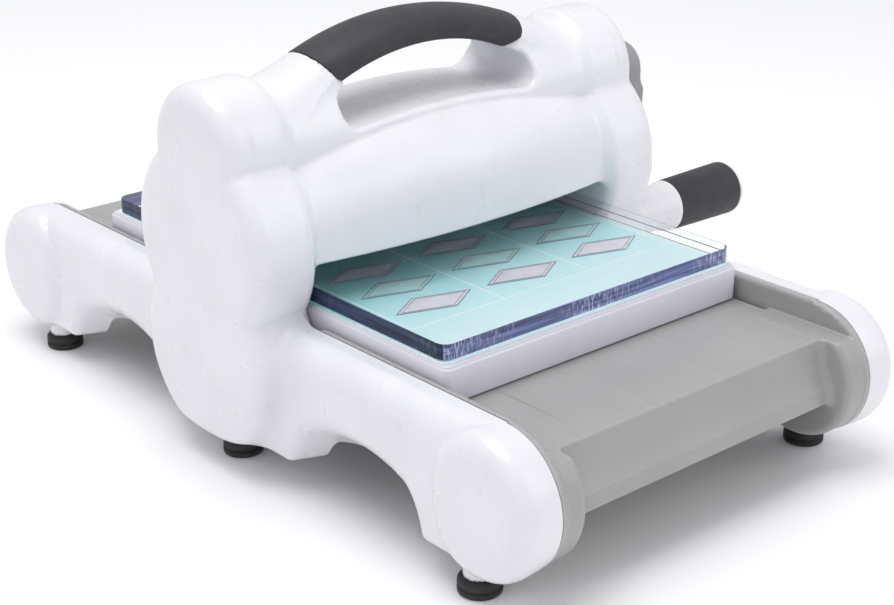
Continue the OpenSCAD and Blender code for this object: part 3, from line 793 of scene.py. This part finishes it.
def slab(name, node, corner_r, profile):
    """A plate with round corners over a CAD node. Its edge follows (inset, height) pairs upwards."""
    low, high = cad_mm(node)
    centre = (low + high) / 2
    half = (high - low) / 2
    bm = bmesh.new()
    loops = []
    for inset, height in profile:
        outline = rounded_loop(half[0] - inset, half[1] - inset, max(corner_r - inset, 0.3))
        loops.append([bm.verts.new(((centre[0] + x) * MM, (centre[1] + y) * MM, (low[2] + height) * MM))
                      for x, y in outline])
    for a, b in zip(loops, loops[1:]):
        for i in range(len(a)):
            j = (i + 1) % len(a)
            bm.faces.new((a[i], a[j], b[j], b[i]))
    bm.faces.new(loops[0][::-1])
    bm.faces.new(loops[-1])
    return object_from(name, bm, 30)


def thickness(node):
    low, high = cad_mm(node)
    return high[2] - low[2]


def build_plates():
    top = thickness("platform")
    profile = [(0.8, 0), (0.25, 0.2), (0, 0.7), (0, top - 1.5), (0.2, top - 1.15),
               (0.9, top - 1.0), (1.0, top - 0.8), (1.05, top - 0.3), (1.4, top)]
    obj = slab("carrier_platform", "platform", 3.5, profile)
    finish_piece(obj, "sandwich", "platform_white", "platform")

    for node, name in (("lower_cutting_pad", "clear_pad_lower"), ("upper_cutting_pad", "clear_pad_upper")):
        top = thickness(node)
        profile = [(0.18, 0), (0, 0.2), (0, top - 0.2), (0.18, top)]
        obj = slab(name, node, 4.5, profile)
        finish_piece(obj, "sandwich", "clear_pads", node)

    top = thickness("die_sheet") - 0.45
    card = slab("printed_card", "die_sheet", 4.5, [(0.15, 0), (0, 0.1), (0, top - 0.1), (0.15, top)])
    finish_piece(card, "sandwich", "printed_sheet", "die_sheet")
    card_low, card_high = cad_mm("die_sheet")
    build_dies(card_low[2] + top, card_high[2] - 0.05)


DIE_COLUMNS = (-42.0, 5.0, 52.0)
DIE_ROWS = (-65.0, -43.5, -22.0)
DIE_CORNERS = ((-19.5, -0.5), (-4.5, 8.5), (19.5, 0.5), (4.5, -8.5))


def die_frame(name, centre, bottom, top, bosses):
    """One thin die: a slanted plate with a raised cutting rim and small round bosses."""
    bm = bmesh.new()
    cx, cy = centre

    def loop(scale, z):
        return [bm.verts.new(((cx + x * scale) * MM, (cy + y * scale) * MM, z * MM)) for x, y in DIE_CORNERS]

    plate_top = bottom + 0.22
    loops = [loop(1.0, bottom), loop(1.0, top), loop(0.975, top), loop(0.965, plate_top),
             loop(0.86, plate_top), loop(0.855, top), loop(0.84, top), loop(0.835, plate_top)]
    for a, b in zip(loops, loops[1:]):
        for i in range(4):
            j = (i + 1) % 4
            face = bm.faces.new((a[i], b[i], b[j], a[j]))
            face.material_index = int(max(a[i].co.z, b[i].co.z) > plate_top * MM + 1e-6)
    bm.faces.new(loops[0])
    bm.faces.new(loops[-1][::-1])
    for dx, dy in bosses:
        bumps = bmesh.ops.create_cone(bm, cap_ends=True, segments=20, radius1=1.1 * MM, radius2=0.95 * MM,
                                      depth=(top - bottom) * MM)["verts"]
        bmesh.ops.translate(bm, verts=bumps, vec=((cx + dx) * MM, (cy + dy) * MM, (top + bottom) / 2 * MM))
    return object_from(name, bm, 30)


def build_dies(bottom, top):
    spots = (((-3.5, 1.0), (4.0, -1.2), (9.5, 0.2)), ((-2.5, 1.2), (1.5, -1.5), (3.0, 1.6)), ())
    for row, y in enumerate(DIE_ROWS):
        for column, x in enumerate(DIE_COLUMNS):
            obj = die_frame(f"thin_die_{row}{column}", (x, y), bottom, top, spots[row])
            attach(obj, "sandwich")
            PIECES[obj.name] = f"die_{row}"


# ---------------------------------------------------------------- materials

class Paint:
    """Builds one procedural material, node by node. Patterns use rest coordinates in metres."""

    def __init__(self, name):
        self.material = bpy.data.materials.new(name)
        self.material.use_nodes = True
        self.tree = self.material.node_tree
        self.tree.nodes.clear()
        self.out = self.node("ShaderNodeOutputMaterial")
        self.where = self.node("ShaderNodeTexCoord").outputs["Object"]

    def node(self, kind, inputs=(), **settings):
        made = self.tree.nodes.new(kind)
        for key, value in settings.items():
            setattr(made, key, value)
        for key, value in dict(inputs).items():
            self.plug(made.inputs[key], value)
        return made

    def plug(self, socket, value):
        if isinstance(value, bpy.types.NodeSocket):
            self.tree.links.new(value, socket)
        else:
            socket.default_value = value

    def noise(self, scale, detail=3.0, rough=0.5, stretch=None, shift=(0, 0, 0)):
        place = self.where
        if stretch or any(shift):
            mapping = self.node("ShaderNodeMapping", {"Vector": place, "Scale": stretch or (1, 1, 1),
                                                      "Location": shift})
            place = mapping.outputs["Vector"]
        made = self.node("ShaderNodeTexNoise", {"Vector": place, "Scale": scale, "Detail": detail,
                                                "Roughness": rough})
        return made.outputs["Fac"]

    def span(self, value, low, high, to_low=0.0, to_high=1.0):
        made = self.node("ShaderNodeMapRange", {"Value": value, "From Min": low, "From Max": high,
                                                "To Min": to_low, "To Max": to_high})
        return made.outputs["Result"]

    def math(self, kind, a, b=0.0, clamp=False):
        made = self.node("ShaderNodeMath", {0: a, 1: b}, operation=kind, use_clamp=clamp)
        return made.outputs[0]

    def mix(self, share, a, b):
        made = self.node("ShaderNodeMix", data_type="RGBA", blend_type="MIX")
        self.plug(made.inputs[0], share)
        self.plug(made.inputs[6], rgba(a))
        self.plug(made.inputs[7], rgba(b))
        return made.outputs[2]

    def bump(self, height, distance, strength=1.0, below=None):
        made = self.node("ShaderNodeBump", {"Height": height, "Distance": distance, "Strength": strength})
        if below is not None:
            self.plug(made.inputs["Normal"], below)
        return made.outputs["Normal"]

    def worn(self, tint, paler, amount):
        """Tint rubbed paler along convex edges, broken up by noise."""
        edge = self.span(self.node("ShaderNodeNewGeometry").outputs["Pointiness"], 0.515, 0.56)
        edge = self.math("MULTIPLY", edge, self.span(self.noise(300), 0.35, 0.7, 0.3, 1.0))
        return self.mix(self.math("MULTIPLY", edge, amount), tint, paler)

    def principled(self, **inputs):
        made = self.node("ShaderNodeBsdfPrincipled")
        for key, value in inputs.items():
            self.plug(made.inputs[key.replace("_", " ")], rgba(value) if "Color" in key else value)
        self.tree.links.new(made.outputs[0], self.out.inputs[0])


def rgba(value):
    return (*value, 1.0) if isinstance(value, tuple) and len(value) == 3 else value


def scaled(colour, k):
    return tuple(c * k for c in colour)


def moulded(name, colour, rough, grain, wear, coat=0.0, scratches=0.0):
    """Moulded plastic: cloudy colour, fine grain, patchy gloss, worn edges and, on trays, scratches and a
    painted lightening of the floor that stands for light from above.
    """
    p = Paint(name)
    tint = p.mix(p.span(p.noise(38, 4), 0.3, 0.7), scaled(colour, 0.965), scaled(colour, 1.02))
    gloss = p.span(p.noise(120, 5, 0.6), 0.3, 0.75, rough * 0.86, rough * 1.18)
    normal = p.bump(p.noise(900, 2), 0.00002, grain)
    if scratches:
        height = p.node("ShaderNodeSeparateXYZ", {0: p.where}).outputs[2]
        floor = p.span(height, (FLOOR_Z - 0.8) * MM, (FLOOR_Z - 0.2) * MM)
        gate = p.math("MULTIPLY", p.span(p.noise(30, 2, shift=(3, 1, 0)), 0.44, 0.56), floor)
        deep = p.math("MULTIPLY", p.span(p.noise(1.0, 1, 0.5, stretch=(1100, 13, 60)), 0.67, 0.71), gate)
        tint = p.mix(p.math("MULTIPLY", deep, scratches), tint, scaled(colour, 0.45))
        # Paler streaks over everything at floor height and above: partly real fine scratches along the feed,
        # partly painted light that keeps the floor lighter than the apron below it.
        fine = p.noise(1.0, 2, 0.5, stretch=(1100, 9, 200))
        tint = p.mix(p.math("MULTIPLY", p.span(fine, 0.4, 0.7, 0.02, 0.3), floor), tint, scaled(colour, 1.2))
        normal = p.bump(deep, 0.0001, -scratches, normal)
    tint = p.worn(tint, scaled(colour, 1.35), wear)
    p.principled(Base_Color=tint, Roughness=gloss, Normal=normal, Coat_Weight=coat, Coat_Roughness=0.12)
    return p.material


def soft_touch(name, colour):
    """Soft grip rubber with a fine pebble grain, a dull sheen and paler rubbed patches."""
    p = Paint(name)
    cloud = p.noise(60, 4)
    tint = p.mix(p.span(cloud, 0.3, 0.75), scaled(colour, 0.85), scaled(colour, 1.2))
    pebble = p.node("ShaderNodeTexVoronoi", {"Vector": p.where, "Scale": 1900.0}).outputs["Distance"]
    normal = p.bump(pebble, 0.00004, 0.35)
    normal = p.bump(p.noise(420, 4), 0.00012, 0.18, normal)
    gloss = p.span(p.noise(150, 4, 0.6), 0.3, 0.7, 0.46, 0.62)
    tint = p.worn(tint, scaled(colour, 1.8), 0.3)
    p.principled(Base_Color=tint, Roughness=gloss, Normal=normal, Specular_IOR_Level=0.42)
    return p.material


def black_rubber(name):
    p = Paint(name)
    tint = p.mix(p.span(p.noise(240, 4), 0.3, 0.7), (0.008, 0.008, 0.009), (0.02, 0.02, 0.022))
    tint = p.worn(tint, (0.05, 0.05, 0.052), 0.4)
    normal = p.bump(p.noise(1500, 4, 0.6), 0.00006, 0.5)
    p.principled(Base_Color=tint, Roughness=p.span(p.noise(300), 0.3, 0.7, 0.5, 0.72), Normal=normal)
    return p.material


def metal(name, colour, rough, stretch, grease=0.0):
    """Turned or brushed metal: stretched fine lines, faint stains and, on gears, a film of grease."""
    p = Paint(name)
    brush = p.noise(1.0, 4, 0.6, stretch=stretch)
    tint = p.mix(p.span(brush, 0.3, 0.7), scaled(colour, 0.88), scaled(colour, 1.08))
    stain = p.span(p.noise(70, 4), 0.45, 0.75)
    tint = p.mix(p.math("MULTIPLY", stain, 0.25 + grease), tint, scaled(colour, 0.6))
    tint = p.worn(tint, scaled(colour, 1.25), 0.4)
    gloss = p.span(p.noise(90, 4), 0.3, 0.7, rough * 0.8, rough * 1.25)
    normal = p.bump(brush, 0.00004, 0.35)
    p.principled(Base_Color=tint, Metallic=1.0, Roughness=gloss, Normal=normal)
    return p.material


def pad_face(name, mirror, haze_low, haze_high):
    """Broad face of a clear pad: a see-through sheet with some mirror gloss, haze and scratches."""
    p = Paint(name)
    streak = p.noise(1.0, 3, 0.55, stretch=(900, 14, 40))
    slant = p.noise(1.0, 3, 0.55, stretch=(55, 700, 40), shift=(0.3, 0.1, 0))
    lines = p.math("MAXIMUM", p.span(streak, 0.66, 0.72), p.span(slant, 0.69, 0.75))
    scratch = p.math("MULTIPLY", lines, p.span(p.noise(22, shift=(1, 2, 0)), 0.4, 0.65))
    normal = p.bump(streak, 0.00002, 0.1)
    clear = p.node("ShaderNodeBsdfTransparent", {"Color": (0.99, 1.0, 1.0, 1)})
    gloss = p.node("ShaderNodeBsdfGlossy", {"Color": (1, 1, 1, 1), "Roughness": 0.05, "Normal": normal})
    haze = p.node("ShaderNodeBsdfDiffuse", {"Color": (0.88, 0.94, 0.97, 1)})
    sheet = p.node("ShaderNodeMixShader", {0: mirror, 1: clear.outputs[0], 2: gloss.outputs[0]})
    cloud = p.span(p.noise(26, 4), 0.3, 0.7, haze_low, haze_high)
    share = p.math("ADD", cloud, p.math("MULTIPLY", scratch, 4 * haze_high), clamp=True)
    whole = p.node("ShaderNodeMixShader", {0: share, 1: sheet.outputs[0], 2: haze.outputs[0]})
    p.tree.links.new(whole.outputs[0], p.out.inputs[0])
    return p.material


def pad_edge(name, colour, sawn):
    """Sawn or polished edge of a clear pad, which looks blue because light gathers in it."""
    p = Paint(name)
    saw = p.noise(1.0, 2, 0.5, stretch=(1100, 1100, 240))
    along = p.noise(1.0, 3, 0.5, stretch=(30, 30, 700))
    tint = p.mix(p.span(along, 0.35, 0.65), scaled(colour, 0.5), scaled(colour, 1.5))
    marks = p.math("MULTIPLY", p.span(saw, 0.5, 0.62), p.span(p.noise(30, 2), 0.42, 0.6))
    tint = p.mix(p.math("MULTIPLY", marks, sawn), tint, (0.62, 0.66, 0.86))
    normal = p.bump(saw, 0.0001, sawn)
    p.principled(Base_Color=tint, Roughness=0.3, Normal=normal, Specular_IOR_Level=0.25)
    return p.material


def printed_card(name):
    """Card printed with a teal wash that pales towards its ends, and thin white lines between the dies."""
    p = Paint(name)
    split = p.node("ShaderNodeSeparateXYZ", {0: p.where})
    x, y = split.outputs[0], split.outputs[1]
    far = p.math("ABSOLUTE", y)
    wash = p.mix(p.span(far, 0.02, 0.10), (0.12, 0.66, 0.72), (0.74, 0.93, 0.98))
    wash = p.mix(p.span(x, -0.05, 0.08, 0, 0.3), wash, (0.74, 0.93, 0.93))
    wash = p.mix(p.span(p.noise(50, 4), 0.35, 0.7, 0, 0.12), wash, (0.8, 0.93, 0.93))
    pitch = (DIE_COLUMNS[1] - DIE_COLUMNS[0]) * MM
    middle = p.math("SUBTRACT", x, DIE_COLUMNS[0] * MM + pitch / 2)
    ripple = p.node("ShaderNodeMath", {0: middle, 1: pitch / 2, 2: -pitch / 2}, operation="WRAP").outputs[0]
    columns = p.math("LESS_THAN", p.math("ABSOLUTE", ripple), 0.0004)
    columns = p.math("MULTIPLY", columns, p.math("LESS_THAN", far, 0.080))
    border = p.math("LESS_THAN", p.math("ABSOLUTE", p.math("SUBTRACT", far, 0.080)), 0.0004)
    border = p.math("MULTIPLY", border, p.math("LESS_THAN", p.math("ABSOLUTE", x), 0.0655))
    ink = p.math("MAXIMUM", columns, border)
    wash = p.mix(p.math("MULTIPLY", ink, 0.8), wash, (0.95, 0.99, 0.99))
    rim = p.math("MAXIMUM", p.span(p.math("ABSOLUTE", x), 0.0765, 0.0777), p.span(far, 0.1114, 0.1125))
    rubbed = p.math("MULTIPLY", rim, p.span(p.noise(300), 0.35, 0.65))
    wash = p.mix(p.math("MULTIPLY", rubbed, 0.5), wash, (0.88, 0.97, 0.98))
    normal = p.bump(p.noise(1800), 0.00002, 0.3)
    p.principled(Base_Color=wash, Roughness=p.span(p.noise(200), 0.3, 0.7, 0.42, 0.58), Normal=normal)
    return p.material


def die_metal(name, colour, rough):
    """Thin etched steel of a die."""
    p = Paint(name)
    tint = p.mix(p.span(p.noise(130, 4), 0.3, 0.7), scaled(colour, 0.9), scaled(colour, 1.08))
    tint = p.worn(tint, scaled(colour, 1.3), 0.1)
    normal = p.bump(p.noise(1.0, stretch=(90, 1400, 60)), 0.00003, 0.3)
    p.principled(Base_Color=tint, Metallic=0.1, Roughness=rough, Normal=normal)
    return p.material


def build_materials():
    return {
        "white_housing": moulded("white_abs", (0.80, 0.80, 0.835), 0.30, 0.02, 0.12, coat=0.25),
        "grey_plastic": moulded("grey_tray_plastic", (0.355, 0.352, 0.350), 0.32, 0.1, 0.5, scratches=0.6),
        "crank_grey": moulded("crank_grey_plastic", (0.29, 0.29, 0.305), 0.36, 0.15, 0.4),
        "soft_grip": soft_touch("soft_touch_rubber", (0.033, 0.033, 0.037)),
        "rubber_feet": black_rubber("black_foot_rubber"),
        "steel": metal("plated_steel", (0.62, 0.63, 0.65), 0.28, (300, 300, 1200)),
        "gear_steel": metal("greased_gear_steel", (0.46, 0.45, 0.43), 0.34, (900, 300, 300), 0.3),
        "roller_steel": metal("ground_roller_steel", (0.6, 0.61, 0.63), 0.22, (40, 1500, 1500)),
        "bushes": metal("sintered_bronze", (0.7, 0.5, 0.24), 0.4, (1300, 1300, 1300)),
        "platform_white": moulded("platform_white_plastic", (0.70, 0.69, 0.76), 0.34, 0.08, 0.15),
        "printed_sheet": printed_card("printed_card_stock"),
        "die_0": die_metal("die_steel_lilac", (0.84, 0.77, 0.86), 0.34),
        "die_1": die_metal("die_coated_teal", (0.55, 0.88, 0.90), 0.3),
        "die_2": die_metal("die_steel_dark", (0.55, 0.58, 0.72), 0.4),
        "die_rim": die_metal("die_cutting_rim", (0.14, 0.17, 0.22), 0.35),
    }


def dress():
    """Gives every piece and every CAD node that still shows its material."""
    materials = build_materials()
    for name, look in PIECES.items():
        if look != "clear_pads":
            bpy.data.objects[name].data.materials.append(materials[look])
        if look.startswith("die_"):
            bpy.data.objects[name].data.materials.append(materials["die_rim"])
    dress_pads([bpy.data.objects[name] for name, look in PIECES.items() if look == "clear_pads"])
    for part in frame["record"]["subparts"]:
        node = CAD[part["node"]]
        if not node.hide_render:
            node.data.materials.clear()
            node.data.materials.append(materials[part["material_slot"]])


def dress_pads(pads):
    """Clear faces, glossiest on the topmost one, sawn ends with painted light, a left side with painted shade
    and a clear right side.
    """
    looks = [pad_face("clear_pad_face", 0.02, 0.004, 0.016),
             pad_face("clear_pad_top", 0.11, 0.01, 0.04),
             # Painted light: the blue of the sawn ends stands for light gathered in the edge.
             pad_edge("pad_sawn_end", (0.16, 0.19, 0.38), 0.7),
             # Painted shade: this near-black blue stands for the dark look of the pads' left side, which the
             # right side does not get.
             pad_edge("pad_side_painted_shade", (0.025, 0.04, 0.09), 0.1)]
    for pad in pads:
        for material in looks:
            pad.data.materials.append(material)
        for face in pad.data.polygons:
            if abs(face.normal.z) > 0.8:
                face.material_index = int(pad.name == "clear_pad_upper" and face.normal.z > 0)
            elif face.normal.x < 0.99:
                face.material_index = 2 if abs(face.normal.y) > 0.6 else 3


# ---------------------------------------------------------------- stage

CAMERA_AT = (-0.4541, -0.5498, 0.3313)
AZIMUTH, ELEVATION, ROLL = -40.815, 22.144, -0.254
LENS = 71.19


def build_stage():
    bm = bmesh.new()
    bmesh.ops.create_grid(bm, x_segments=4, y_segments=4, size=4.0)
    floor = object_from("studio_floor", bm)
    paint = Paint("pale_floor")
    tint = paint.mix(paint.noise(3, 3), (0.93, 0.93, 0.935), (0.95, 0.95, 0.955))
    paint.principled(Base_Color=tint, Roughness=0.9, Specular_IOR_Level=0.1)
    floor.data.materials.append(paint.material)

    scene = bpy.context.scene
    scene.view_settings.view_transform = "Standard"
    world = bpy.data.worlds.new("studio")
    world.use_nodes = True
    background = world.node_tree.nodes["Background"]
    background.inputs[0].default_value = (0.97, 0.98, 1.0, 1)
    background.inputs[1].default_value = 0.69
    scene.world = world
    lamp("top_softbox", (-0.25, 0.1, 1.5), (0, 0, 0.05), 1.0, 12.0)
    lamp("front_softbox", (0.9, -1.5, 0.9), (0, -0.05, 0.08), 1.2, 5.2)
    lamp("left_strip", (-1.5, -0.7, 0.8), (0, 0, 0.08), 0.5, 0.4)

    camera = bpy.data.objects.new("camera", bpy.data.cameras.new("camera"))
    scene.collection.objects.link(camera)
    camera.data.sensor_width = 36
    camera.data.lens = LENS
    camera.data.clip_start, camera.data.clip_end = 0.01, 20
    azimuth, elevation = math.radians(AZIMUTH), math.radians(ELEVATION)
    back = Vector((math.sin(azimuth) * math.cos(elevation), -math.cos(azimuth) * math.cos(elevation),
                   math.sin(elevation)))
    turn = (-back).to_track_quat("-Z", "Y").to_matrix().to_4x4()
    camera.matrix_world = Matrix.Translation(CAMERA_AT) @ turn @ Matrix.Rotation(math.radians(ROLL), 4, "Z")
    scene.camera = camera


def lamp(name, place, target, size, power):
    data = bpy.data.lights.new(name, "AREA")
    data.size = size
    data.energy = power
    obj = bpy.data.objects.new(name, data)
    bpy.context.scene.collection.objects.link(obj)
    obj.location = place
    obj.rotation_mode = "QUATERNION"
    obj.rotation_quaternion = (Vector(target) - Vector(place)).to_track_quat("-Z", "Y")


build_housing()
build_trays()
build_handle()
build_crank()
build_feet()
build_plates()
dress()
build_stage()
